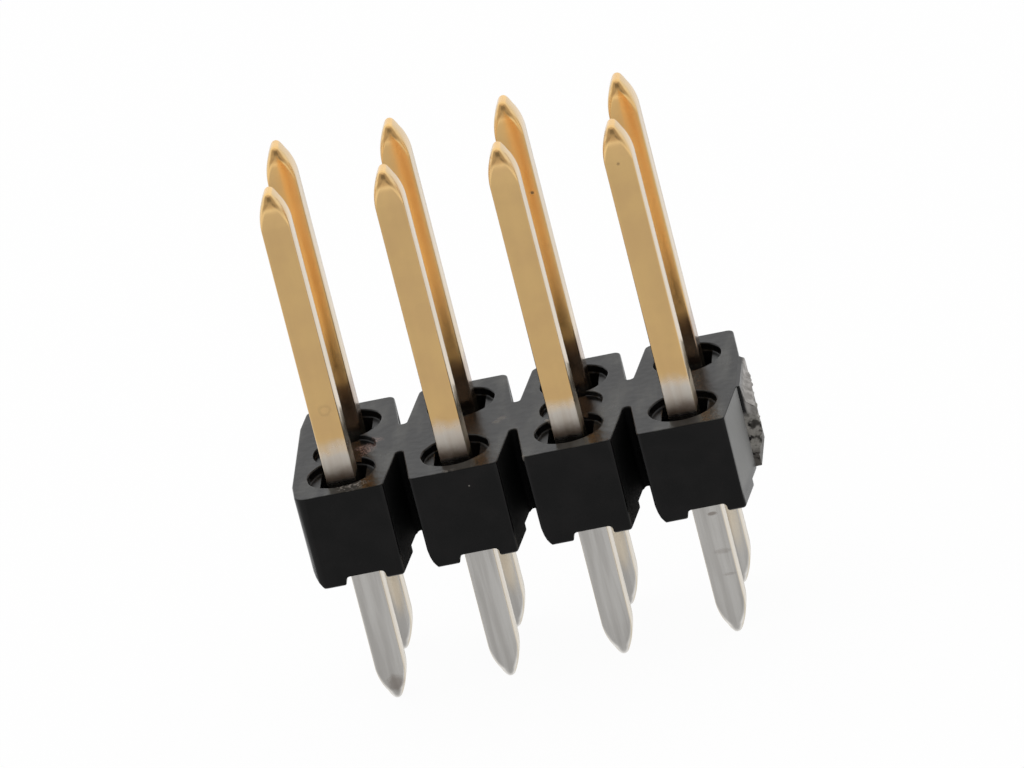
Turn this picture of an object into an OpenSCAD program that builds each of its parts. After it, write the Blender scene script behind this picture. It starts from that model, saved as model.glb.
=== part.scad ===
// Double-row pin header strip: a moulded housing snapped from a longer strip,
// with square pins pressed through it on a square grid. X runs along the rows,
// Y across them and Z up along the contact posts. The origin is the centre of
// the pin grid on the seating plane, which is the underside of the feet.

/* [Grid] */
// Number of pins in each row
columns = 4; // [1:1:7]
// Distance between pin centres, along the rows and across them
pitch = 2.54; // [2.5:0.01:2.7]

/* [Pins] */
// Side of the square wire
pin_side = 0.64; // [0.62:0.01:0.7]
// Bevel along the four long edges of the wire
pin_bevel = 0.03; // [0.01:0.01:0.06]
// Length of a contact post above the housing
post_l = 6.9; // [3:0.1:12]
// Length of a solder tail below the seating plane
tail_l = 3.22; // [2:0.02:6]
// Radius of the curve that each side of a swaged tip follows
tip_curve_r = 1.42; // [1.2:0.02:1.8]
// Radius of the rounded end of a tip, seen from the front
tip_end_r = 0.12; // [0.08:0.01:0.18]
// Radius of the corners of a tip, seen from the side
tip_side_r = 0.28; // [0.1:0.01:0.3]

/* [Housing] */
// Depth of the housing across the rows
body_d = 4.76; // [4.6:0.02:5.2]
// Height of the housing from the feet to the top face
body_h = 2.2; // [2:0.05:3]
// Radius of the upright corners of each cell
corner_r = 0.1; // [0.04:0.01:0.2]
// Radius of the front upright corner at the whole end of the strip
end_corner_r = 0.28; // [0.1:0.01:0.35]
// Distance of the cleanly cut end from the line between two cells
end_cut = 0.18; // [0.12:0.01:0.26]

/* [Break notches] */
// Width of a notch at the front and rear faces
notch_mouth = 0.58; // [0.4:0.02:0.8]
// Radius of the bottom of a notch
notch_r = 0.085; // [0.06:0.005:0.12]
// Thickness of the web left between a front and a rear notch
web_t = 1.48; // [1.2:0.02:1.8]

/* [Recesses] */
// Radius of the round recess at each pin
recess_r = 0.75; // [0.6:0.01:0.85]
// Depth of the round recess
recess_depth = 0.19; // [0.1:0.01:0.3]
// Width of the deeper well at each pin, along the row
well_w = 1.0; // [0.8:0.02:1.1]
// Depth of the well below the top face
well_depth = 0.9; // [0.5:0.05:1.2]
// Clearance between the wire and each side of its hole
pin_fit = 0; // [0:0.01:0.05]
// Radius of an ejector mark
mark_r = 0.7; // [0.4:0.02:0.75]
// Depth of an ejector mark
mark_depth = 0.12; // [0.04:0.01:0.18]
// Distance of an ejector mark from the middle line, towards the front
mark_offset = 0.06; // [0:0.02:0.3]

/* [Feet] */
// Height of the feet below the channels under the pins
foot_h = 0.21; // [0.2:0.01:0.35]
// Height of the arches between the cells
arch_h = 0.26; // [0.25:0.01:0.4]
// Width of a foot
foot_w = 0.5; // [0.4:0.02:0.6]
// Length of a foot from the front or rear face inwards
foot_l = 1.05; // [0.6:0.05:1.4]
// Width of the channel under the pins
channel_w = 0.88; // [0.8:0.02:1]
// Distance that the feet sit off the pins, along the row
foot_shift = 0.12; // [0:0.01:0.16]
// Radius of the lower edges of the feet
foot_r = 0.09; // [0.03:0.01:0.1]
// Radius of the corners of the channels
channel_r = 0.1; // [0.04:0.01:0.11]
// Radius of the rounded side of an arch
arch_r = 0.15; // [0.1:0.01:0.16]

/* [Torn end] */
// Distance that the torn web stands past the line between two cells, in front
tear_front = 0.21; // [0.1:0.01:0.3]
// Distance that the torn web stands past that line, at the rear
tear_rear = -0.02; // [-0.05:0.01:0.1]
// Height of the roughness of the tear
tear_rough = 0.035; // [0.005:0.005:0.06]
// Distance that the lowest part of the tear falls back
tear_fall = 0.3; // [0.1:0.01:0.4]
// Height over which it falls back
tear_fall_h = 0.8; // [0.4:0.05:1.2]

/* [Hidden] */
$fn = 48;
ROW_NAMES = ["front", "back"];

housing_colour = [0.12, 0.12, 0.12];
gold_colour = [0.82, 0.63, 0.38];

half_d = body_d / 2;
pin_top = body_h + post_l;
pin_l = pin_top + tail_l;
hole_w = pin_side + 2 * pin_fit;
end_x = columns / 2 * pitch;
// a margin by which a cutter stands clear of what it cuts
past = 1;
// the torn web is this much narrower on each side than the joint it sits on
web_step = 0.02;

// Sides of a notch: straight lines from the mouth, tangent to the round bottom
root_y = web_t / 2 + notch_r;
mouth_run = [notch_mouth / 2, half_d - root_y];
notch_angle = atan2(mouth_run.x, mouth_run.y) - asin(notch_r / norm(mouth_run));
root_x = notch_r * cos(notch_angle);
tangent_y = root_y - notch_r * sin(notch_angle);

// Tip of a pin: side curves that run into the round end without a kink
curve_x = tip_curve_r - pin_side / 2;
curve_l = sqrt(pow(tip_curve_r - tip_end_r, 2) - pow(curve_x, 2));
tip_l = curve_l + tip_end_r;
curve_share = tip_curve_r / (tip_curve_r - tip_end_r);

// Steps in each outline of the tear
TEAR_STEPS = 14;

function pin_name(row, column) = str("pin_", ROW_NAMES[row], "_", column);
function pin_x(column) = (column - (columns + 1) / 2) * pitch;
function pin_y(row) = (row - 0.5) * pitch;
function line_x(index) = (index - columns / 2) * pitch;
function unit(v) = v / norm(v);

// Rounding of the corner p between its neighbours a and b
function half_angle(a, p, b) = acos(unit(a - p) * unit(b - p)) / 2;
function arc_centre(a, p, b, r) = p + unit(unit(a - p) + unit(b - p)) * r / sin(half_angle(a, p, b));
function arc_start(a, p, b, r) = p + unit(a - p) * r / tan(half_angle(a, p, b));

// Outline with arcs at its corners. A radius above zero rounds a corner off,
// and one below zero fills an inner corner.
module rounded_outline(points, radii) {
    n = len(points);
    module arcs(sign) {
        for (i = [0 : n - 1])
            if (sign * radii[i] > 0)
                translate(arc_centre(points[(i + n - 1) % n], points[i], points[(i + 1) % n], abs(radii[i])))
                    circle(r = abs(radii[i]));
    }
    difference() {
        union() {
            polygon([
                for (i = [0 : n - 1])
                    let (a = points[(i + n - 1) % n], p = points[i], b = points[(i + 1) % n], r = abs(radii[i]))
                        each r == 0 ? [p] : [arc_start(a, p, b, r), arc_start(b, p, a, r)]
            ]);
            arcs(1);
        }
        arcs(-1);
    }
}

// One cell seen from above, with the slanted sides that the notches leave
module cell_plan(index) {
    left = line_x(index);
    right = line_x(index + 1);
    front_left_r = index == 0 ? end_corner_r : corner_r;
    rounded_outline(
        [
            [left + mouth_run.x, -half_d], [right - mouth_run.x, -half_d],
            [right - root_x, -tangent_y], [right - root_x, tangent_y],
            [right - mouth_run.x, half_d], [left + mouth_run.x, half_d],
            [left + root_x, tangent_y], [left + root_x, -tangent_y]
        ],
        [front_left_r, corner_r, 0, 0, corner_r, corner_r, 0, 0]
    );
}

module housing_plan() {
    difference() {
        union() {
            for (index = [0 : columns - 1])
                cell_plan(index);
            square([2 * (end_x - root_x), 2 * tangent_y], center = true);
        }
        for (index = [1 : columns - 1], side = [-1, 1])
            translate([line_x(index), side * root_y])
                circle(r = notch_r);
        translate([-end_x - past, -half_d - past])
            square([past + end_cut, body_d + 2 * past]);
    }
}

// Section along the row: two feet under each cell, a channel under its pins
// and an arch between it and the next cell
module housing_section() {
    left_foot = foot_shift - channel_w / 2 - foot_w;
    right_foot = foot_shift + channel_w / 2;
    function foot_points(x) = [[x, 0], [x + foot_w, 0]];
    function cell_points(c) = [
        [c + left_foot, arch_h], each foot_points(c + left_foot), [c + left_foot + foot_w, foot_h],
        [c + right_foot, foot_h], each foot_points(c + right_foot), [c + right_foot + foot_w, arch_h]
    ];
    cell_radii = [
        -foot_r, foot_r, foot_r, -channel_r,
        -channel_r, foot_r, foot_r, -arch_r
    ];
    far = end_x + past;
    rounded_outline(
        concat(
            [[-far, arch_h]],
            [for (column = [1 : columns]) each cell_points(pin_x(column))],
            [[far, arch_h], [far, body_h], [-far, body_h]]
        ),
        concat([0], [for (column = [1 : columns]) each cell_radii], [0, 0, 0])
    );
}

// Unevenness of the tear at one of its steps, from -1 to 1
function tear_noise(i, phase) = 0.6 * sin(i * 151 + phase) + 0.4 * sin(i * 283 - phase);
// How far the tear falls back near the underside
function tear_back(z) = tear_fall * pow(max(0, min(1, 1 - (z - arch_h) / tear_fall_h)), 2);

// Web that was torn off beside the last cell. One jagged outline seen from above
// and one seen from the front cut each other.
module torn_web() {
    slant = atan2(tear_front - tear_rear, web_t);
    run = 2 * web_t;
    rise = body_h + past;
    back_x = end_x - root_x - notch_r;
    module above() {
        polygon(concat(
            [[-past, -run / 2]],
            [for (i = [0 : TEAR_STEPS]) [tear_rough * tear_noise(i, 0), run * (i / TEAR_STEPS - 1 / 2)]],
            [[-past, run / 2]]
        ));
    }
    module ahead() {
        polygon(concat(
            [[-past, -past / 2]],
            [
                for (i = [0 : TEAR_STEPS])
                    let (z = rise * i / TEAR_STEPS - past / 2)
                        [tear_rough * tear_noise(i, 90) - tear_back(z), z]
            ],
            [[-past, rise - past / 2]]
        ));
    }
    intersection() {
        difference() {
            translate([back_x, web_step - tangent_y, -past])
                cube([past, 2 * (tangent_y - web_step), body_h + 2 * past]);
            // the bottoms of the last pair of notches
            for (side = [-1, 1])
                translate([end_x, side * root_y, -2 * past])
                    cylinder(r = notch_r, h = body_h + 4 * past);
        }
        translate([end_x + (tear_front + tear_rear) / 2, 0, 0])
            rotate(slant)
                intersection() {
                    translate([0, 0, -past / 2])
                        linear_extrude(height = rise)
                            above();
                    rotate([90, 0, 0])
                        linear_extrude(height = run, center = true)
                            ahead();
                }
    }
}

// Round recess, deeper well and square hole for one pin
module pin_seat() {
    translate([0, 0, body_h - recess_depth])
        cylinder(r = recess_r, h = recess_depth + past);
    translate([0, 0, body_h - well_depth])
        intersection() {
            cylinder(r = recess_r, h = well_depth + past);
            translate([-well_w / 2, -recess_r - past, 0])
                cube([well_w, 2 * (recess_r + past), well_depth + past]);
        }
    translate([-hole_w / 2, -hole_w / 2, -past])
        cube([hole_w, hole_w, body_h + 2 * past]);
}

module housing() {
    color(housing_colour)
        difference() {
            intersection() {
                union() {
                    translate([0, 0, -past])
                        linear_extrude(height = body_h + 2 * past)
                            housing_plan();
                    torn_web();
                }
                rotate([90, 0, 0])
                    linear_extrude(height = body_d + 2 * past, center = true)
                        housing_section();
            }
            // the feet end a little way in from the front and rear faces
            translate([-end_x - past, foot_l - half_d, -past])
                cube([2 * (end_x + past), body_d - 2 * foot_l, foot_h + past]);
            for (row = [0, 1], column = [1 : columns])
                translate([pin_x(column), pin_y(row), 0])
                    pin_seat();
            // the ejector marks lie on every second cell
            for (column = [1 : 2 : columns])
                translate([pin_x(column), -mark_offset, body_h - mark_depth])
                    cylinder(r = mark_r, h = mark_depth + past);
        }
}

// One tip in its own plane, from the plain wire at zero up to its round end
module tip_profile() {
    intersection() {
        translate([-curve_x, 0])
            circle(r = tip_curve_r, $fn = 96);
        translate([curve_x, 0])
            circle(r = tip_curve_r, $fn = 96);
        translate([-pin_side / 2, 0])
            square([pin_side, curve_l * curve_share]);
    }
    translate([0, curve_l])
        circle(r = tip_end_r);
}

// A pin seen from the side, with rounded corners at its ends
module pin_side_view() {
    rounded_outline(
        [
            [-pin_side / 2, -tail_l], [pin_side / 2, -tail_l],
            [pin_side / 2, pin_top], [-pin_side / 2, pin_top]
        ],
        [tip_side_r, tip_side_r, tip_side_r, tip_side_r]
    );
}

// A pin seen from the front: plain wire between two tips
module pin_front_view() {
    translate([-pin_side / 2, tip_l - tail_l])
        square([pin_side, pin_l - 2 * tip_l]);
    translate([0, pin_top - tip_l])
        tip_profile();
    translate([0, tip_l - tail_l])
        mirror([0, 1])
            tip_profile();
}

// Square wire with bevelled edges, swaged to a blunt wedge at both ends
module pin_solid() {
    intersection() {
        rotate([90, 0, 0])
            linear_extrude(height = 2 * pin_side, center = true)
                pin_front_view();
        rotate([90, 0, 90])
            linear_extrude(height = 2 * pin_side, center = true)
                pin_side_view();
        translate([0, 0, -tail_l - past])
            linear_extrude(height = pin_l + 2 * past)
                intersection() {
                    square(pin_side, center = true);
                    rotate(45)
                        square((pin_side - pin_bevel) * sqrt(2), center = true);
                }
    }
}

module pin(row, column) {
    color(gold_colour)
        translate([pin_x(column), pin_y(row), 0])
            pin_solid();
}

housing();
for (row = [0, 1], column = [1 : columns])
    pin(row, column);
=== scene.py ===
"""Looks of the pin header strip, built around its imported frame.

Lengths below are in millimetres, as in the part itself, and are scaled to
metres when a mesh is made. X runs along the rows, Y across them and Z up.
"""
import math

import bmesh
import bpy
from mathutils import Matrix, Vector, noise


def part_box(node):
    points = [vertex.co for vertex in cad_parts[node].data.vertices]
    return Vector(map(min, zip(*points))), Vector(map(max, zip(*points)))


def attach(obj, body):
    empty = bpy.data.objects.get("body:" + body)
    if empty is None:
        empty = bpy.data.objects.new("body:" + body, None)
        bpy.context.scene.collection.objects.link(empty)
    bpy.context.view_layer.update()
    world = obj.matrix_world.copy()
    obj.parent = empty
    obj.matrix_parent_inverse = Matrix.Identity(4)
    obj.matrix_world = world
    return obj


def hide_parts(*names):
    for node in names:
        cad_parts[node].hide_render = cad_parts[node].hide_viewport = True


MM = 0.001
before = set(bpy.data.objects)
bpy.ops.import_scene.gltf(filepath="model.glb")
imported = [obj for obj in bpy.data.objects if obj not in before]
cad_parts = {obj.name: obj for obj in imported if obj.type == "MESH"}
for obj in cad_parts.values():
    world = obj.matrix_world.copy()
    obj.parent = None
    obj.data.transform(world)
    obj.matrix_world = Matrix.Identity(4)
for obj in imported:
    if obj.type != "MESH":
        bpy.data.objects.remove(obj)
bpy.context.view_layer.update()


# Sizes that the frame gives

def box_mm(name):
    """Lowest and highest corner of a CAD node, in millimetres."""
    low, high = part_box(name)
    return Vector(low) / MM, Vector(high) / MM


def centre_mm(name):
    low, high = box_mm(name)
    return (low + high) / 2


PINS = sorted(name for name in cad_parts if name.startswith("pin_"))
COLUMNS = len(PINS) // 2
HOUSING_HIGH = box_mm("housing")[1]
PIN_LOW, PIN_HIGH = box_mm("pin_front_1")
PITCH = centre_mm("pin_front_2").x - centre_mm("pin_front_1").x
END_X = COLUMNS / 2 * PITCH
HALF_D = HOUSING_HIGH.y
TOP = HOUSING_HIGH.z
# half the width of the square wire
WIRE = (PIN_HIGH.x - PIN_LOW.x) / 2

# Sizes of the housing that the frame doesn't give, as in the part
NOTCH_MOUTH = 0.58
NOTCH_R = 0.085
WEB_T = 1.48
CORNER_R = 0.1
END_CORNER_R = 0.28
END_CUT = 0.18
RECESS_R = 0.75
RECESS_DEPTH = 0.19
WELL_W = 1.0
WELL_DEPTH = 0.9
MARK_R = 0.7
MARK_DEPTH = 0.12
MARK_OFFSET = 0.06
FOOT_H = 0.21
ARCH_H = 0.26
FOOT_W = 0.5
FOOT_L = 1.05
CHANNEL_W = 0.88
FOOT_SHIFT = 0.12
CHANNEL_R = 0.1
FOOT_R = 0.09

# Sides of a notch: straight lines from the mouth, tangent to the round bottom
ROOT_Y = WEB_T / 2 + NOTCH_R
MOUTH_RUN = Vector((NOTCH_MOUTH / 2, HALF_D - ROOT_Y))
NOTCH_ANGLE = math.atan2(MOUTH_RUN.x, MOUTH_RUN.y) - math.asin(NOTCH_R / MOUTH_RUN.length)
ROOT_X = NOTCH_R * math.cos(NOTCH_ANGLE)
TANGENT_Y = ROOT_Y - NOTCH_R * math.sin(NOTCH_ANGLE)

# Rounding and draft of the housing, which only the looks have
RIM_R = 0.035
LOWER_RIM_R = 0.08
REAR_CORNER_R = 0.16
DRAFT = 0.015
FLOOR_FILLET = 0.03
WELL_BEVEL = 0.02
MARK_BEVEL = 0.015
HOLE_GAP = 0.01
ARCH_R = 0.12
END_ARCH_R = 0.05
# share of its radius by which a recess or mark wavers
WAVER = 0.022
# a foot is wider than in the part by this left of an arch, and by twice this right of it
FOOT_FLARE = 0.12
# a hair off the faces beside them, so that no two faces of the cutters coincide
SLOT_R = RECESS_R - 0.002
MIDDLE_H = FOOT_H + 0.003
# how far a cutter stands out of the body that it cuts
OUT = 1
# points around a recess or mark
ROUND_POINTS = 96

# Outline of a cell's lower left corner: across from the cell's middle, and height
LOWER_CORNER = (
    (-0.76, -0.3), (-0.79, 0.02), (-0.83, 0.08), (-0.885, 0.17),
    (-0.925, 0.30), (-0.955, 0.48), (-1.0, 0.7),
)
# beside the web it is this much further out, but not past a slanted line
LOWER_CORNER_RUN = 0.35
LOWER_CORNER_LIMIT = -1.2
LOWER_CORNER_SLANT = 0.05

# Tips of the pins, seen from the front: curves that are tangent to a small end arc
EDGE_R = 0.035
TIP_EDGE_R = 0.22
TIP_CURVE_R = 1.42
TIP_END_R = 0.12
TIP_CURVE_X = TIP_CURVE_R - WIRE
TIP_CURVE_L = math.sqrt((TIP_CURVE_R - TIP_END_R) ** 2 - TIP_CURVE_X**2)
TIP_TANGENT = TIP_CURVE_L * TIP_CURVE_R / (TIP_CURVE_R - TIP_END_R)
TIP_L = TIP_CURVE_L + TIP_END_R
# half axes of the elliptic corner of a tip, seen from the side
TIP_FALL = 0.15
TIP_RISE = 0.45
# the worn upper tips stop this far short of the full length
TIP_WEAR = 0.06

# Torn face: how far it stands past the line between two cells, in front and at the
# rear, how it tapers off at its rear edge and how it falls back towards the bottom
TEAR_FRONT = 0.21
TEAR_REAR = -0.02
TEAR_TAPER = 0.1
TEAR_TAPER_L = 0.4
TEAR_FALL = 0.42
TEAR_FALL_H = 0.9
TEAR_LEAST = 0.04
# its waves: their height, how many there are to a millimetre, and where they begin
TEAR_WAVES = ((0.10, 2.3, (3, 1, 4)), (0.07, 6.0, (1, 5, 9)), (0.03, 15.0, (0, 0, 0)))
# its top: the fall to the front, the bend of that fall, and the blunt lip along it
TEAR_TOP_FALL = 0.45
TEAR_TOP_BEND = 1.3
LIP_H = 0.06
LIP_BLUNT = 0.05
LIP_WAVE = 0.03
LIP_WAVES_PER_MM = 5
LIP_PATTERN = 7
LOST_CORNER_R = 0.2
LOST_CORNER_SHIFT = 0.06
# the torn web lies a hair inside the walls of the notches and the top of the housing
TORN_HALF_D = TANGENT_Y - 0.005
TORN_TOP = TOP - 0.002

# Edges between faces that meet at more than this angle stay sharp, in degrees
HOUSING_CREASE = 38
TORN_CREASE = 50
PIN_CREASE = 60


# Meshes

def new_object(name, bm, scale=MM, outward=False):
    """Makes an object of a bmesh, whose faces may look outwards already."""
    if not outward:
        bmesh.ops.recalc_face_normals(bm, faces=bm.faces)
    bm.transform(Matrix.Scale(scale, 4))
    mesh = bpy.data.meshes.new(name)
    bm.to_mesh(mesh)
    bm.free()
    obj = bpy.data.objects.new(name, mesh)
    bpy.context.scene.collection.objects.link(obj)
    return obj


def quarter_turn(count):
    """Angles from 0 to a right one, both ends included."""
    return [math.pi / 2 * i / count for i in range(count + 1)]


def arc(centre, radius, start, end, count):
    """Points of an arc between two angles in radians, both ends included."""
    angles = [start + (end - start) * i / count for i in range(count + 1)]
    return [centre + radius * Vector((math.cos(a), math.sin(a))) for a in angles]


def circle(radius, count=72, waver=0.0, seed=0):
    """Round outline, whose radius can waver a little."""
    waves_per_mm = 4
    seeds_apart = 10
    outline = []
    for p in arc(Vector((0, 0)), radius, 0, 2 * math.pi, count)[:-1]:
        at = Vector((waves_per_mm * p.x, waves_per_mm * p.y, seeds_apart * seed))
        outline.append(p * (1 + waver * noise.noise(at)))
    return outline


def rectangle(half_x, half_y):
    return [Vector((x * half_x, y * half_y)) for x, y in ((-1, -1), (1, -1), (1, 1), (-1, 1))]


def rounded(corners, count=8):
    """Closed outline through (point, radius) corners, each rounded by an arc."""
    points = []
    total = len(corners)
    for i, (point, radius) in enumerate(corners):
        point = Vector(point)
        if radius == 0:
            points.append(point)
            continue
        before = (Vector(corners[i - 1][0]) - point).normalized()
        after = (Vector(corners[(i + 1) % total][0]) - point).normalized()
        half = before.angle(after) / 2
        centre = point + (before + after).normalized() * radius / math.sin(half)
        start = point + before * radius / math.tan(half) - centre
        turn = before.cross(after)
        sweep = math.copysign(math.pi - 2 * half, -turn)
        first = math.atan2(start.y, start.x)
        points += arc(centre, radius, first, first + sweep, count)
    return points


def inset(points, distance):
    """The outline moved inwards by a distance; it runs anticlockwise."""
    moved = []
    total = len(points)
    for i, point in enumerate(points):
        before = (point - points[i - 1]).normalized()
        after = (points[(i + 1) % total] - point).normalized()
        normal_a = Vector((-before.y, before.x))
        normal_b = Vector((-after.y, after.x))
        mean = (normal_a + normal_b).normalized()
        moved.append(point + mean * distance / max(0.5, mean.dot(normal_a)))
    return moved


def join(bm, ring_a, ring_b):
    """A band of faces between two closed rings of as many vertices."""
    for i in range(len(ring_a)):
        j = (i + 1) % len(ring_a)
        bm.faces.new((ring_a[i], ring_a[j], ring_b[j], ring_b[i]))


def close(bm, rings):
    """A closed solid through some rings, with a face at both ends."""
    for ring_a, ring_b in zip(rings, rings[1:]):
        join(bm, ring_a, ring_b)
    bm.faces.new(list(reversed(rings[0])))
    bm.faces.new(rings[-1])


def loft(bm, outline, levels, place=(0, 0)):
    """Closed solid through (height, inset) levels of one outline."""
    rings = []
    for z, distance in levels:
        points = inset(outline, distance)
        rings.append([bm.verts.new((p.x + place[0], p.y + place[1], z)) for p in points])
    close(bm, rings)


def extrude_y(bm, profile, reach):
    """Closed solid of an outline in X and Z, along the whole depth."""
    close(bm, [[bm.verts.new((p.x, y, p.y)) for p in profile] for y in (-reach, reach)])


# Housing

def housing_outline():
    """The housing seen from above, anticlockwise from its whole end."""
    apex_y = ROOT_Y - NOTCH_R / math.sin(NOTCH_ANGLE)
    left = -END_X + END_CUT
    # where the clean cut at the whole end meets the slanted sides
    cut_y = TANGENT_Y + (HALF_D - TANGENT_Y) * (END_CUT - ROOT_X) / (MOUTH_RUN.x - ROOT_X)

    def edge(side):
        points = []
        plain = CORNER_R if side < 0 else REAR_CORNER_R
        for k in range(COLUMNS):
            start = -END_X + k * PITCH
            corner = END_CORNER_R if k == 0 and side < 0 else plain
            points.append(((start + MOUTH_RUN.x, side * HALF_D), corner))
            points.append(((start + PITCH - MOUTH_RUN.x, side * HALF_D), plain))
            if k < COLUMNS - 1:
                points.append(((start + PITCH, side * apex_y), NOTCH_R))
        return points

    front = edge(-1)
    rear = list(reversed(edge(1)))
    right = [((END_X - ROOT_X, -TANGENT_Y), 0), ((END_X - ROOT_X, TANGENT_Y), 0)]
    whole = [((left, cut_y), 0), ((left, -cut_y), 0)]
    return rounded(front + right + rear + whole)


def rim_levels(angles, outwards=False):
    """Levels of the rounded rim at the top of a wall, turned in or out."""
    sign = -1 if outwards else 1
    return [(TOP - RIM_R * (1 - math.sin(a)), sign * RIM_R * (1 - math.cos(a))) for a in angles]


def gap_profile(left, right, height, left_r, right_r):
    """Outline of a gap between two feet, with the feet's rounded lower edges."""
    rim = FOOT_R
    quarter = math.pi / 2
    return (
        [Vector((left - rim, -OUT))]
        + arc(Vector((left - rim, rim)), rim, -quarter, 0, 5)
        + arc(Vector((left + left_r, height - left_r)), left_r, math.pi, quarter, 6)
        + arc(Vector((right - right_r, height - right_r)), right_r, quarter, 0, 6)
        + arc(Vector((right + rim, rim)), rim, math.pi, 3 * quarter, 5)
        + [Vector((right + rim, -OUT))]
    )


def corner_cut(bm, x, side):
    """What a cell's rounded lower left corner leaves open, shallower inwards."""
    outside = 0.1

    def ring(corner, y):
        points = [(-PITCH / 2, corner[0][1]), *corner, (-PITCH / 2, corner[-1][1])]
        return [bm.verts.new((x + dx, side * y, z)) for dx, z in points]

    inner = []
    for dx, z in LOWER_CORNER:
        limit = LOWER_CORNER_LIMIT - LOWER_CORNER_SLANT * z
        inner.append((max(dx - LOWER_CORNER_RUN, limit), z))
    close(bm, [ring(LOWER_CORNER, HALF_D + outside), ring(inner, TANGENT_Y)])


def cutter(name, build, *arguments):
    bm = bmesh.new()
    build(bm, *arguments)
    return new_object(name, bm, 1)


def top_cutters():
    """Recesses with their wells and pin holes, and the moulding marks."""
    made = []
    floor = TOP - RECESS_DEPTH
    recess = [
        (floor, FLOOR_FILLET),
        (floor + FLOOR_FILLET / 3, FLOOR_FILLET / 3),
        (floor + FLOOR_FILLET, 0),
        *rim_levels((0.0, 0.4, 0.8, 1.2, 1.5), outwards=True),
        (TOP + OUT, -RIM_R),
    ]
    well_floor = TOP - WELL_DEPTH
    well = [
        (well_floor, WELL_BEVEL),
        (floor - WELL_BEVEL, 0),
        (floor - WELL_BEVEL / 4, -0.3 * WELL_BEVEL),
        (floor + WELL_BEVEL, -WELL_BEVEL),
    ]
    # the two wells of a recess are the ends of one slot across it
    corner = math.acos(WELL_W / 2 / RECESS_R)
    slot = []
    for turn in (0, math.pi):
        slot += arc(Vector((0, 0)), SLOT_R, turn + corner, turn + math.pi - corner, 16)
    hole = rectangle(WIRE + HOLE_GAP, WIRE + HOLE_GAP)
    hole_levels = [(-OUT, 0), (well_floor + 0.1, 0)]
    for index, pin in enumerate(PINS):
        place = centre_mm(pin).xy
        outline = circle(RECESS_R, ROUND_POINTS, WAVER, index + 1)
        made.append(cutter(f"recess_{index}", loft, outline, recess, place))
        made.append(cutter(f"well_{index}", loft, slot, well, place))
        made.append(cutter(f"hole_{index}", loft, hole, hole_levels, place))
    mark_floor = TOP - MARK_DEPTH
    mark = [
        (mark_floor, MARK_BEVEL),
        (mark_floor + MARK_BEVEL, 0),
        (TOP - MARK_BEVEL, 0),
        (TOP + 0.001, -MARK_BEVEL),
        (TOP + OUT, -MARK_BEVEL),
    ]
    for column in range(0, COLUMNS, 2):
        place = (-END_X + (column + 0.5) * PITCH, -MARK_OFFSET)
        outline = circle(MARK_R, ROUND_POINTS, WAVER, len(PINS) + 1 + column)
        made.append(cutter(f"mark_{column}", loft, outline, mark, place))
    return made


def foot_cutters():
    """Channels, arches and rounded corners under the cells."""
    made = []
    reach = HALF_D + OUT
    half = CHANNEL_W / 2
    for column in range(COLUMNS):
        middle = -END_X + (column + 0.5) * PITCH
        x = middle + FOOT_SHIFT
        channel = gap_profile(x - half, x + half, FOOT_H, CHANNEL_R, CHANNEL_R)
        made.append(cutter(f"channel_{column}", extrude_y, channel, reach))
        arch_left = x + half + FOOT_W + FOOT_FLARE
        arch_right = x + PITCH - half - FOOT_W - 2 * FOOT_FLARE
        arch = gap_profile(arch_left, arch_right, ARCH_H, ARCH_R, ARCH_R)
        made.append(cutter(f"arch_{column}", extrude_y, arch, reach))
        for side in (-1, 1):
            made.append(cutter(f"corner_{column}_{side}", corner_cut, middle, side))
    x = -END_X + 0.5 * PITCH + FOOT_SHIFT
    end = gap_profile(x - PITCH, x - half - FOOT_W - FOOT_FLARE, ARCH_H, ARCH_R, END_ARCH_R)
    made.append(cutter("arch_end", extrude_y, end, reach))
    between = rectangle(END_X + OUT, HALF_D - FOOT_L)
    made.append(cutter("middle", loft, between, [(-OUT, 0), (MIDDLE_H, 0)]))
    return made


def sharpen(mesh, degrees):
    """Marks the edges between faces that meet at more than an angle."""
    bm = bmesh.new()
    bm.from_mesh(mesh)
    for edge in bm.edges:
        edge.smooth = len(edge.link_faces) == 2 and edge.calc_face_angle(0) < math.radians(degrees)
    for face in bm.faces:
        face.smooth = True
    bm.to_mesh(mesh)
    bm.free()


def weight_normals(obj, degrees):
    """Shades a body smoothly up to an angle, and keeps its large faces flat."""
    sharpen(obj.data, degrees)
    weighted = obj.modifiers.new("even_normals", "WEIGHTED_NORMAL")
    weighted.keep_sharp = True
    weighted.weight = 90


def cut_away(body, tools):
    """Cuts the tools from a body, all in millimetres, and scales it to metres."""
    for tool in tools:
        cut = body.modifiers.new(tool.name, "BOOLEAN")
        cut.operation = "DIFFERENCE"
        cut.solver = "EXACT"
        cut.object = tool
    bpy.context.view_layer.update()
    evaluated = body.evaluated_get(bpy.context.evaluated_depsgraph_get())
    shaped = bpy.data.meshes.new_from_object(evaluated)
    body.modifiers.clear()
    body.data = shaped
    shaped.transform(Matrix.Scale(MM, 4))
    for tool in tools:
        bpy.data.objects.remove(tool)


def in_notch(face):
    """Whether a face of the housing is a wall of a notch between two cells."""
    margin, rim = 0.1, 0.02
    sideways, level = 0.6, 0.5
    x, y, z = face.center / MM
    from_line = abs((x + PITCH / 2) % PITCH - PITCH / 2)
    between = abs(x) < END_X - PITCH / 2 and abs(y) > TANGENT_Y - margin and z < TOP - rim
    slanted = abs(face.normal.x) > sideways and from_line < MOUTH_RUN.x
    bottom = abs(face.normal.z) < level and from_line < NOTCH_R
    return between and (slanted or bottom)


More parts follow.
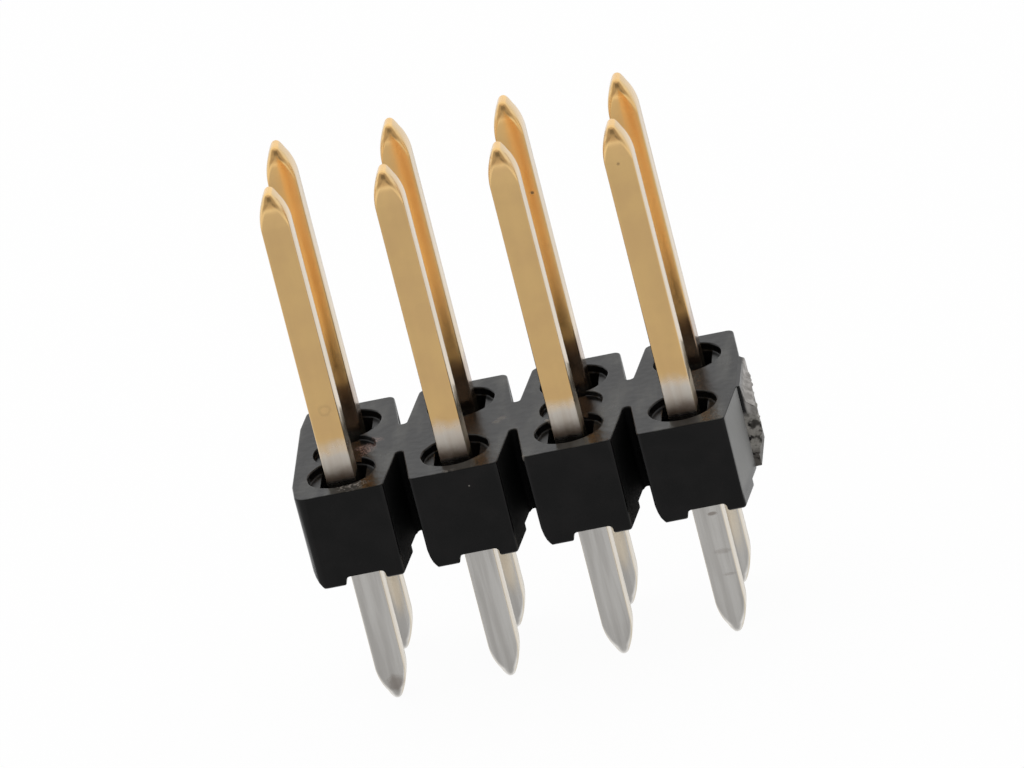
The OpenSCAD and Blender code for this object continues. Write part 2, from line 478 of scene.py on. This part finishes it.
def make_housing():
    """The moulded strip, without the web that was torn off beside its last cell."""
    levels = []
    for a in quarter_turn(4):
        levels.append((LOWER_RIM_R * (1 - math.cos(a)), DRAFT + LOWER_RIM_R * (1 - math.sin(a))))
    bm = bmesh.new()
    loft(bm, housing_outline(), levels + rim_levels(quarter_turn(5)))
    body = new_object("housing_body", bm, 1)
    cut_away(body, top_cutters() + foot_cutters())
    weight_normals(body, HOUSING_CREASE)
    for face in body.data.polygons:
        face.material_index = int(in_notch(face))
    return body


def tear_depth(y, z):
    """How far the tear stands past the line between two cells."""
    across = (y + WEB_T / 2) / WEB_T
    reach = TEAR_FRONT + (TEAR_REAR - TEAR_FRONT) * across
    reach -= TEAR_TAPER * max(0, 1 - (TANGENT_Y - y) / TEAR_TAPER_L)
    reach -= TEAR_FALL * max(0, min(1, 1 - (z - ARCH_H) / TEAR_FALL_H)) ** 2
    for height, per_mm, shift in TEAR_WAVES:
        reach += height * noise.noise(Vector((y, z, 0)) * per_mm + Vector(shift))
    return min(reach, HOUSING_HIGH.x - END_X)


def top_fall(y):
    """How far the top of the torn web is down, most of all in front."""
    return TEAR_TOP_FALL * max(0, (TORN_HALF_D - y) / (2 * TORN_HALF_D)) ** TEAR_TOP_BEND


def torn_columns(bm, across, up):
    """Vertices of the torn face, in columns from its front edge to its rear one."""
    columns = []
    for i in range(across + 1):
        y = -TORN_HALF_D + 2 * TORN_HALF_D * i / across
        wave = LIP_WAVE * noise.noise(Vector((0, LIP_WAVES_PER_MM * y, LIP_PATTERN)))
        lip = TOP - LIP_H - top_fall(y) - wave
        column = []
        for j in range(up + 1):
            z = ARCH_H + (lip - ARCH_H) * j / up
            blunt = LIP_BLUNT * max(0, 1 - (lip - z) / LIP_H) ** 2
            reach = max(TEAR_LEAST, tear_depth(y, z) - blunt)
            column.append(bm.verts.new((END_X + reach, y, z)))
        columns.append(column)
    return columns


def make_torn_end():
    """The web that was torn off beside the last cell, with its rough face."""
    across, up = 90, 110
    bm = bmesh.new()
    grid = torn_columns(bm, across, up)
    for a, b in zip(grid, grid[1:]):
        for j in range(up):
            bm.faces.new((a[j], b[j], b[j + 1], a[j + 1]))
    border = [(i, 0) for i in range(across + 1)] + [(across, j) for j in range(1, up + 1)]
    border += [(i, up) for i in range(across - 1, -1, -1)] + [(0, j) for j in range(up - 1, 0, -1)]
    ring = [grid[i][j] for i, j in border]
    # the web goes on into the last cell, and its top only falls beside the tear
    inside = -ROOT_X - RIM_R - 0.01
    for from_line, share in ((0.03, 0.85), (-0.02, 0), (inside, 0)):
        deeper = []
        for i, j in border:
            y = grid[i][j].co.y
            top = TORN_TOP - share * top_fall(y)
            deeper.append(bm.verts.new((END_X + from_line, y, ARCH_H + (top - ARCH_H) * j / up)))
        join(bm, deeper, ring)
        ring = deeper
    bm.faces.new(ring)
    # its faces aren't flat, and the cut fails unless they are triangles
    bmesh.ops.triangulate(bm, faces=bm.faces)
    torn = new_object("torn_web", bm, 1)
    # the bottom of the last notch in front, and the corner lost at the rear
    lost_corner = (END_X + LOST_CORNER_R - NOTCH_R, ROOT_Y + LOST_CORNER_SHIFT)
    whole_height = [(-OUT, 0), (TOP + OUT, 0)]
    tools = [
        cutter("notch", loft, circle(NOTCH_R), whole_height, (END_X, -ROOT_Y)),
        cutter("lost_corner", loft, circle(LOST_CORNER_R), whole_height, lost_corner),
    ]
    cut_away(torn, tools)
    weight_normals(torn, TORN_CREASE)
    return torn


# Pins

def half_width(from_end):
    """Half the width of a pin that shows from the front."""
    along = TIP_L - from_end
    if along <= 0:
        return WIRE
    if along < TIP_TANGENT:
        return math.sqrt(TIP_CURVE_R**2 - along**2) - TIP_CURVE_X
    return math.sqrt(max(0, TIP_END_R**2 - (along - TIP_CURVE_L) ** 2))


def half_depth(from_end):
    """Half the width of a pin that shows from the side."""
    along = max(0, 1 - from_end / TIP_RISE)
    return WIRE - TIP_FALL + TIP_FALL * math.sqrt(1 - along**2)


def pin_heights(low, high):
    """Heights of a pin's rings, close together where a tip turns over."""
    plain = 24
    steps = [0.0004, 0.0016] + [TIP_L * (1 - math.cos(a)) for a in quarter_turn(28)[1:]]
    span = (high - TIP_L) - (low + TIP_L)
    heights = [low + step for step in steps]
    heights += [low + TIP_L + span * i / plain for i in range(1, plain)]
    return heights + [high - step for step in reversed(steps)]


def make_pin(name):
    """Square wire with rounded edges and a swaged tip at both ends."""
    low, high = box_mm(name)
    middle = (low + high) / 2
    high.z -= TIP_WEAR
    round_share = 0.9
    bm = bmesh.new()
    rings = []
    for z in pin_heights(low.z, high.z):
        from_end = min(z - low.z, high.z - z)
        w, d = half_width(from_end), half_depth(from_end)
        nearness = max(0, 1 - from_end / TIP_L)
        edge_r = EDGE_R + (TIP_EDGE_R - EDGE_R) * nearness
        r = min(edge_r, round_share * w, round_share * d)
        outline = []
        for turn, (side_x, side_y) in enumerate(((1, 1), (-1, 1), (-1, -1), (1, -1))):
            a = math.pi / 2 * turn
            outline += arc(Vector((side_x * (w - r), side_y * (d - r))), r, a, a + math.pi / 2, 5)
        rings.append([bm.verts.new((middle.x + p.x, middle.y + p.y, z)) for p in outline])
    for ring_a, ring_b in zip(rings, rings[1:]):
        join(bm, ring_a, ring_b)
    # the lower ring runs the other way round, so that the faces at both ends look outwards
    for ring, z in ((rings[0][::-1], low.z), (rings[-1], high.z)):
        apex = bm.verts.new((middle.x, middle.y, z))
        for i in range(len(ring)):
            bm.faces.new((ring[i], ring[(i + 1) % len(ring)], apex))
    pin = new_object(name.replace("pin", "wire"), bm, outward=True)
    weight_normals(pin, PIN_CREASE)
    return pin


# Node trees

class Graph:
    """A node tree, with a short call for each kind of node used here."""

    def __init__(self, tree):
        self.tree = tree

    def node(self, kind, **settings):
        made = self.tree.nodes.new(kind)
        for key, value in settings.items():
            setattr(made, key, value)
        return made

    def link(self, source, target):
        """Links an output to an input, or sets the input to a plain value."""
        if isinstance(source, (int, float, tuple)):
            target.default_value = source
        else:
            self.tree.links.new(source, target)

    def math(self, operation, a, b=0.0):
        made = self.node("ShaderNodeMath", operation=operation)
        self.link(a, made.inputs[0])
        self.link(b, made.inputs[1])
        return made.outputs[0]

    def add(self, a, b):
        return self.math("ADD", a, b)

    def product(self, first, *others):
        for other in others:
            first = self.math("MULTIPLY", first, other)
        return first

    def strongest(self, first, *others):
        for other in others:
            first = self.math("MAXIMUM", first, other)
        return first

    def split(self, vector):
        """The three parts of a vector."""
        made = self.node("ShaderNodeSeparateXYZ")
        self.link(vector, made.inputs[0])
        return made.outputs[0], made.outputs[1], made.outputs[2]

    def remap(self, value, low, high, to_low=0.0, to_high=1.0):
        """Eases from one value to another while the input goes from low to high."""
        made = self.node("ShaderNodeMapRange", interpolation_type="SMOOTHSTEP")
        self.link(value, made.inputs["Value"])
        bounds = {"From Min": low, "From Max": high, "To Min": to_low, "To Max": to_high}
        for key, number in bounds.items():
            self.link(number, made.inputs[key])
        return made.outputs["Result"]

    def mix(self, factor, a, b, blend="MIX"):
        made = self.node("ShaderNodeMix", data_type="RGBA", blend_type=blend)
        self.link(factor, made.inputs["Factor"])
        for value, target in ((a, made.inputs[6]), (b, made.inputs[7])):
            self.link((*value, 1.0) if isinstance(value, tuple) else value, target)
        return made.outputs[2]


class Shader(Graph):
    """A material being built, with its places in millimetres."""

    SOCKETS = {
        "color": "Base Color",
        "rough": "Roughness",
        "metal": "Metallic",
        "ior": "IOR",
        "specular": "Specular IOR Level",
        "normal": "Normal",
    }

    def __init__(self, name):
        self.material = bpy.data.materials.new(name)
        self.material.use_nodes = True
        super().__init__(self.material.node_tree)
        self.surface = self.tree.nodes["Principled BSDF"]
        self.coordinates = self.node("ShaderNodeTexCoord")
        per_mm = (1 / MM, 1 / MM, 1 / MM)
        self.place = self.vector("MULTIPLY", self.coordinates.outputs["Object"], per_mm)
        self.x, self.y, self.z = self.split(self.place)

    def facing(self):
        """The three parts of the surface's direction."""
        return self.split(self.coordinates.outputs["Normal"])

    def vector(self, operation, a, b):
        made = self.node("ShaderNodeVectorMath", operation=operation)
        self.link(a, made.inputs[0])
        self.link(b, made.inputs[1])
        return made.outputs["Value" if operation == "DISTANCE" else "Vector"]

    def noise(self, scale, detail, stretch=(1.0, 1.0, 1.0)):
        """Noise with `scale` features per millimetre, from 0 to 1."""
        made = self.node("ShaderNodeTexNoise")
        self.link(self.vector("MULTIPLY", self.place, stretch), made.inputs["Vector"])
        made.inputs["Scale"].default_value = scale
        made.inputs["Detail"].default_value = detail
        return made.outputs["Fac"]

    def near(self, point, radius, stretch=(1.0, 1.0, 1.0)):
        """1 at a point of the object and 0 from a radius on, with an uneven edge."""
        wobble = self.product(self.noise(9.0, 2.0), 0.5 * radius)
        scaled = self.vector("MULTIPLY", self.place, stretch)
        target = tuple(a * b for a, b in zip(point, stretch))
        distance = self.add(self.vector("DISTANCE", scaled, target), wobble)
        return self.remap(distance, 0.6 * radius, 1.15 * radius, 1.0, 0.0)

    def spots(self, spots):
        """The strongest of some spots, each a strength and what near() takes."""
        masks = []
        for strength, *spot in spots:
            masks.append(self.product(self.near(*spot), strength))
        return self.strongest(*masks)

    def bump(self, height, distance, strength, normal=None):
        """Bump of a height field; distance is in millimetres."""
        made = self.node("ShaderNodeBump")
        made.inputs["Strength"].default_value = strength
        made.inputs["Distance"].default_value = distance * MM
        self.link(height, made.inputs["Height"])
        if normal is not None:
            self.link(normal, made.inputs["Normal"])
        return made.outputs["Normal"]

    def finish(self, **inputs):
        """Feeds the shader, where a plain value is set on the socket itself."""
        for key, value in inputs.items():
            if key == "color" and isinstance(value, tuple):
                value = (*value, 1.0)
            self.link(value, self.surface.inputs[self.SOCKETS[key]])
        return self.material


# Colours, each with the one that it is clouded or streaked with
NYLON = (0.0025, 0.0025, 0.0025), (0.005, 0.0045, 0.0045)
GOLD = (0.93, 0.62, 0.27), (0.88, 0.58, 0.26)
TIN = (0.84, 0.75, 0.65), (0.93, 0.86, 0.77)
TAIL = (0.60, 0.58, 0.55), (0.74, 0.72, 0.69)
TORN = (0.04, 0.036, 0.03), (0.30, 0.285, 0.26)
WHITENED = (0.26, 0.245, 0.23), (0.42, 0.40, 0.38)

# Colours of the marks, of painted shade and reflections, and of what differs from the rest
MOULD_STREAK = (0.10, 0.10, 0.09)
# painted reflection on the last slanted side in front
END_SIDE_SHEEN = (0.225, 0.225, 0.22)
STAIN = (0.20, 0.13, 0.115)
BURR = (0.22, 0.20, 0.18)
DULL_NYLON = (0.006, 0.006, 0.006)
WEB_NYLON = (0.005, 0.005, 0.005)
TORN_LOW = (0.02, 0.014, 0.010)
CUT_SIDE = (0.54, 0.45, 0.31)
REAR_SIDE = (0.92, 0.78, 0.56)
# painted shade on the front of an upper tip, near its end
APEX_SHADE = (0.62, 0.36, 0.14)
# painted reflection of the front posts' gold on the rear posts
REFLECTED_GOLD = (0.95, 0.56, 0.20)
# painted reflection of the black housing top on the posts
HOUSING_REFLECTION = (0.30, 0.19, 0.12)
PIN_MARK = (0.14, 0.09, 0.06)
FLOOR = (0.85, 0.85, 0.85)
WHITE = (1.0, 1.0, 1.0)

# Spots on the housing and the pins as the photograph shows them: strength, place,
# radius, and how many times narrower than that they are along each axis
STAINS = (
    (1.0, (-3.3, -0.15, TOP), 0.3, (1.0, 0.6, 1.0)),
    (1.0, (-3.3, 0.12, TOP), 0.38, (0.8, 1.5, 1.0)),
)
BURRS = (
    (0.5, (-0.28, -0.02, TOP), 0.15),
    (0.5, (-0.38, -0.16, TOP), 0.15),
    (1.0, (0.22, -2.33, TOP), 0.17),
    (1.0, (0.80, -0.62, TOP), 0.14),
    (1.0, (-0.99, -2.38, 1.78), 0.03),
    (1.0, (-0.16, -2.38, 1.74), 0.03),
)
RAGGED_BURRS = (
    (1.0, (-3.55, -2.08, TOP), 0.42, (0.8, 1.2, 1.0)),
    (0.4, (-1.45, -2.32, TOP), 0.36, (0.9, 3.0, 1.0)),
)
PIN_MARKS = (
    (0.6, (3.79, -1.59, 8.18), 0.05),
    (1.0, (1.45, 0.95, 6.86), 0.06),
    (0.6, (-3.76, -1.59, -2.82), 0.30),
    (0.7, (3.90, -1.59, -0.30), 0.16, (1.0, 1.0, 2.5)),
    (0.3, (3.92, -1.59, -1.22), 0.28, (1.0, 1.0, 3.0)),
    (0.3, (3.96, -1.59, -1.78), 0.22, (1.0, 1.0, 4.0)),
)
RING_MARK = (-3.77, -1.59, 3.84)
RING_MARK_R = 0.20
RING_MARK_INNER_R = 0.15

# Height at which the gold begins, and how far it takes to cover the tin
GOLD_FROM = TOP + 0.75
GOLD_BLEND = 0.45

# Bounds over which a noise takes effect, a side that faces along an axis, and a front side
SOFT = (0.35, 0.65)
SQUARELY = (0.55, 0.9)
TO_FRONT = (-0.6, -0.8)


# Materials

def plastic_material():
    """Glossy black nylon with burrs, a painted reflection and a stain where the photograph shows
    them.
    """
    s = Shader("moulded_black")
    cloud = s.noise(1.6, 4.0)
    fine = s.noise(28.0, 2.0)
    color = s.mix(s.remap(cloud, 0.35, 0.7), *NYLON)
    # faint streaks of the moulding on the top face
    on_top = s.remap(s.z, TOP - 0.02, TOP - 0.005)
    streak = s.remap(s.noise(2.4, 4.0, stretch=(1.0, 0.25, 1.0)), 0.42, 0.75)
    color = s.mix(s.product(on_top, streak, 0.45), color, MOULD_STREAK)
    # painted reflection: the last slanted side in front is painted light grey where it mirrors the
    # bright surroundings, less towards the bottom
    sideways = s.remap(s.facing()[0], 0.6, 0.9)
    at_end = s.remap(s.x, END_X - 0.5, END_X - 0.4)
    in_front = s.remap(s.y, -0.3, -0.6)
    end_side_sheen = s.product(sideways, at_end, in_front, s.remap(s.z, 0.1, 0.5))
    color = s.mix(end_side_sheen, color, END_SIDE_SHEEN)
    color = s.mix(s.product(s.spots(STAINS), s.remap(fine, 0.4, 0.6)), color, STAIN)
    ragged = s.product(on_top, s.remap(s.noise(12.0, 4.0), 0.52, 0.60))
    burrs = s.strongest(s.spots(BURRS), s.product(s.spots(RAGGED_BURRS), ragged))
    color = s.mix(s.product(burrs, 0.8), color, BURR)
    rough = s.add(s.remap(cloud, 0.3, 0.7, 0.14, 0.22), s.product(fine, 0.03))
    rough = s.add(rough, s.product(s.strongest(burrs, end_side_sheen), 0.4))
    normal = s.bump(s.noise(9.0, 3.0), 0.002, 0.35)
    normal = s.bump(s.product(on_top, s.noise(5.0, 5.0)), 0.012, 0.5, normal)
    return s.finish(color=color, rough=rough, ior=1.31, normal=normal)


def notch_material():
    """The same plastic where the mould was rough, so that it hardly shines."""
    s = Shader("moulded_dull")
    normal = s.bump(s.noise(9.0, 3.0), 0.004, 0.5)
    return s.finish(color=DULL_NYLON, rough=0.75, ior=1.25, specular=0.2, normal=normal)


def torn_material():
    """Torn nylon: whitened along its upper edge, with light and dark patches below."""
    s = Shader("torn_plastic")
    patches = s.noise(5.5, 5.0)
    color = s.mix(s.remap(patches, 0.40, 0.58), *TORN)
    # the torn top slopes down to the front, and is white from the strain
    mean_slope = 0.5 * TEAR_TOP_FALL / TANGENT_Y
    slope = s.product(s.math("SUBTRACT", TANGENT_Y, s.y), mean_slope)
    below = s.math("SUBTRACT", s.math("SUBTRACT", TOP, slope), s.z)
    strained = s.remap(below, 0.16, 0.30, 1.0, 0.0)
    color = s.mix(strained, color, s.mix(s.remap(patches, 0.4, 0.6), *WHITENED))
    low = s.remap(s.z, 0.75, 0.5)
    color = s.mix(s.product(low, 0.7), color, TORN_LOW)
    # the side of the last notch isn't torn, apart from light strands on its lower part
    torn = s.remap(s.x, END_X - 0.03, END_X + 0.03)
    strands = s.product(s.remap(s.z, TOP - 0.6, TOP - 0.8), s.remap(patches, 0.42, 0.5))
    torn = s.strongest(torn, strands)
    color = s.mix(torn, WEB_NYLON, color)
    grain = s.product(s.noise(18.0, 4.0), torn, s.remap(below, 0.08, 0.2))
    rough = s.remap(torn, 0.0, 1.0, 0.2, 0.5)
    return s.finish(color=color, rough=rough, ior=1.36, normal=s.bump(grain, 0.03, 0.7))


def plating_material():
    """Gold on the upper part of the posts, bright tin below, paler on the cut sides, with painted
    reflections and shade.
    """
    s = Shader("plated_wire")
    streaks = s.noise(5.0, 5.0, stretch=(1.0, 1.0, 0.06))
    cloud = s.noise(1.3, 3.0)
    streaked = s.remap(streaks, *SOFT)
    gold = s.mix(s.remap(cloud, *SOFT), *GOLD)
    tin = s.mix(s.remap(s.z, 0.2, TOP), s.mix(streaked, *TAIL), s.mix(streaked, *TIN))
    edge = s.add(s.z, s.product(s.noise(2.2, 3.0), 0.5))
    color = s.mix(s.remap(edge, GOLD_FROM, GOLD_FROM + GOLD_BLEND), tin, gold)
    # the sides across the row are cut, and their plating is pale
    facing_x, facing_y = s.facing()[:2]
    across = s.remap(s.math("ABSOLUTE", facing_x), *SQUARELY)
    tip = s.remap(s.z, PIN_HIGH.z - 1.1, PIN_HIGH.z - 0.5)
    across = s.product(across, s.remap(tip, 0.0, 1.0, 0.8, 0.5))
    color = s.mix(across, color, CUT_SIDE)
    behind = s.product(s.remap(facing_y, *SQUARELY), 0.6)
    color = s.mix(behind, color, REAR_SIDE)
    # painted shade: the front of an upper tip is painted browner near its end, standing in for the
    # dim surroundings that it mirrors
    to_front = s.remap(facing_y, *TO_FRONT)
    apex = s.product(s.remap(s.z, PIN_HIGH.z - 0.44, PIN_HIGH.z - 0.34), to_front, 0.7)
    color = s.mix(apex, color, APEX_SHADE)
    # painted reflection: the front of the rear posts is painted a warmer gold, standing in for the
    # gold of the front posts that it mirrors
    rear = s.remap(s.y, -0.2, 0.2)
    gold_reflection_share = s.remap(edge, GOLD_FROM, GOLD_FROM + GOLD_BLEND, 0.0, 0.25)
    color = s.mix(s.product(rear, to_front, gold_reflection_share), color, REFLECTED_GOLD)
    # painted reflection: a brown band beside the housing, higher on the rear posts, stands in for
    # the black housing top that the posts mirror
    above = s.remap(s.z, TOP - 0.1, TOP)
    reach = s.add(s.product(rear, 0.95), TOP + 0.20)
    low = s.remap(s.math("SUBTRACT", edge, reach), 0.0, 0.4, 1.0, 0.0)
    color = s.mix(s.product(above, low, 0.85), color, HOUSING_REFLECTION)
    outside = s.math("SUBTRACT", 1.0, s.near(RING_MARK, RING_MARK_INNER_R))
    ring = s.product(s.near(RING_MARK, RING_MARK_R), outside, 0.25)
    marks = s.strongest(ring, s.spots(PIN_MARKS))
    color = s.mix(s.product(marks, 0.8), color, PIN_MARK)
    rough = s.add(s.remap(streaks, 0.3, 0.7, 0.16, 0.24), s.product(cloud, 0.04))
    rough = s.add(rough, s.product(marks, 0.2))
    # the foot of the front posts, below the gold, is less shiny
    matte = s.product(above, s.remap(edge, GOLD_FROM + 0.3, GOLD_FROM))
    matte = s.product(matte, s.math("SUBTRACT", 1.0, rear))
    rough = s.add(rough, s.product(matte, 0.22))
    return s.finish(color=color, rough=rough, metal=1.0, normal=s.bump(streaks, 0.004, 0.5))


def floor_material():
    """Pale floor: white to the camera, with part of the object's shadow kept."""
    white_share = 0.96
    s = Shader("pale_floor")
    s.finish(color=FLOOR, rough=0.9)
    path = s.node("ShaderNodeLightPath")
    rays = ("Is Camera Ray", "Is Glossy Ray", "Is Transmission Ray")
    seen = s.strongest(*(path.outputs[ray] for ray in rays))
    white = s.node("ShaderNodeEmission")
    white.inputs["Strength"].default_value = 1.0
    blend = s.node("ShaderNodeMixShader")
    s.link(s.product(seen, white_share), blend.inputs[0])
    s.link(s.surface.outputs[0], blend.inputs[1])
    s.link(white.outputs[0], blend.inputs[2])
    s.link(blend.outputs[0], s.tree.nodes["Material Output"].inputs["Surface"])
    return s.material


# Camera, light and floor

def place_camera():
    """The camera stands as the photograph was taken, and is rolled as it was."""
    turn, up, roll = math.radians(8.4415), math.radians(22.6635), math.radians(14.3826)
    distance = 457.28
    pixels_per_mm = 45.857
    aim_right, aim_up = 0.1187, 2.6989
    image_width = 1024
    sensor = 36.0
    right = Vector((math.cos(turn), math.sin(turn), 0))
    back = Vector((math.sin(turn) * math.cos(up), -math.cos(turn) * math.cos(up), math.sin(up)))
    above = back.cross(right)
    data = bpy.data.cameras.new("camera")
    data.sensor_width = sensor
    data.sensor_fit = "HORIZONTAL"
    data.lens = sensor * pixels_per_mm * distance / image_width
    data.clip_start = 0.01
    data.clip_end = 10.0
    camera = bpy.data.objects.new("camera", data)
    image_right = right * math.cos(roll) - above * math.sin(roll)
    image_up = right * math.sin(roll) + above * math.cos(roll)
    axes = Matrix((image_right, image_up, back)).transposed()
    place = (back * distance + right * aim_right + above * aim_up) * MM
    camera.matrix_world = Matrix.Translation(place) @ axes.to_4x4()
    bpy.context.scene.collection.objects.link(camera)
    bpy.context.scene.camera = camera


def light_world():
    """Soft studio surroundings: white behind, and in front dim between bright sides."""
    world = bpy.data.worlds.new("studio")
    bpy.context.scene.world = world
    world.use_nodes = True
    g = Graph(world.node_tree)
    x, y, z = g.split(g.node("ShaderNodeTexCoord").outputs["Generated"])
    front = g.node("ShaderNodeValToRGB")
    g.link(g.product(g.add(z, 1.0), 0.5), front.inputs[0])
    front.color_ramp.interpolation = "EASE"
    # sine of the height above the horizon, and the brightness in front there
    stops = [
        (-1.0, 0.5), (-0.45, 0.50), (-0.30, 0.58), (-0.14, 0.95), (-0.02, 0.8),
        (0.20, 0.24), (0.45, 0.24), (0.75, 0.95),
    ]
    ramp = front.color_ramp.elements
    while len(ramp) < len(stops):
        ramp.new(0.5)
    for element, (sine, level) in zip(ramp, stops):
        element.position = (sine + 1) / 2
        element.color = (level, level, level, 1)
    # the dim part is narrow, with brighter sides
    side_level = (0.6, 0.6, 0.6)
    beside = g.remap(g.math("ABSOLUTE", x), 0.35, 0.6, 0.0, 0.8)
    sky = g.mix(beside, front.outputs[0], side_level, "LIGHTEN")
    sky = g.mix(g.remap(y, -0.55, 0.25), sky, WHITE)
    to_camera = g.node("ShaderNodeLightPath").outputs["Is Camera Ray"]
    sky = g.mix(to_camera, sky, WHITE)
    g.link(sky, g.tree.nodes["Background"].inputs["Color"])


def place_lamp():
    """A large soft lamp above and behind, which the surfaces don't mirror."""
    data = bpy.data.lights.new("softbox", "AREA")
    data.shape = "SQUARE"
    data.size = 120 * MM
    data.energy = 0.05
    lamp = bpy.data.objects.new("softbox", data)
    place = Vector((-50, 60, 160)) * MM
    turned = place.to_track_quat("Z", "Y").to_matrix().to_4x4()
    lamp.matrix_world = Matrix.Translation(place) @ turned
    lamp.visible_glossy = False
    bpy.context.scene.collection.objects.link(lamp)


def lay_floor():
    """A floor under the tails, far larger than what the camera sees."""
    half_size = 1500
    bm = bmesh.new()
    bmesh.ops.create_grid(bm, x_segments=1, y_segments=1, size=half_size)
    bmesh.ops.translate(bm, verts=bm.verts, vec=(0, 0, PIN_LOW.z))
    floor = new_object("floor", bm)
    floor.visible_glossy = False
    floor.data.materials.append(floor_material())


# The scene

def dress(piece, material, slot, *nodes):
    piece.data.materials.append(material)
    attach(piece, "root")
    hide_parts(*nodes)


place_camera()
light_world()
place_lamp()
lay_floor()

housing = make_housing()
dress(housing, plastic_material(), "housing_plastic", "housing")
housing.data.materials.append(notch_material())
dress(make_torn_end(), torn_material(), "housing_plastic", "housing")
plating = plating_material()
for pin in PINS:
    dress(make_pin(pin), plating, "pin_plating", pin)

scene = bpy.context.scene
scene.view_settings.view_transform = "Standard"
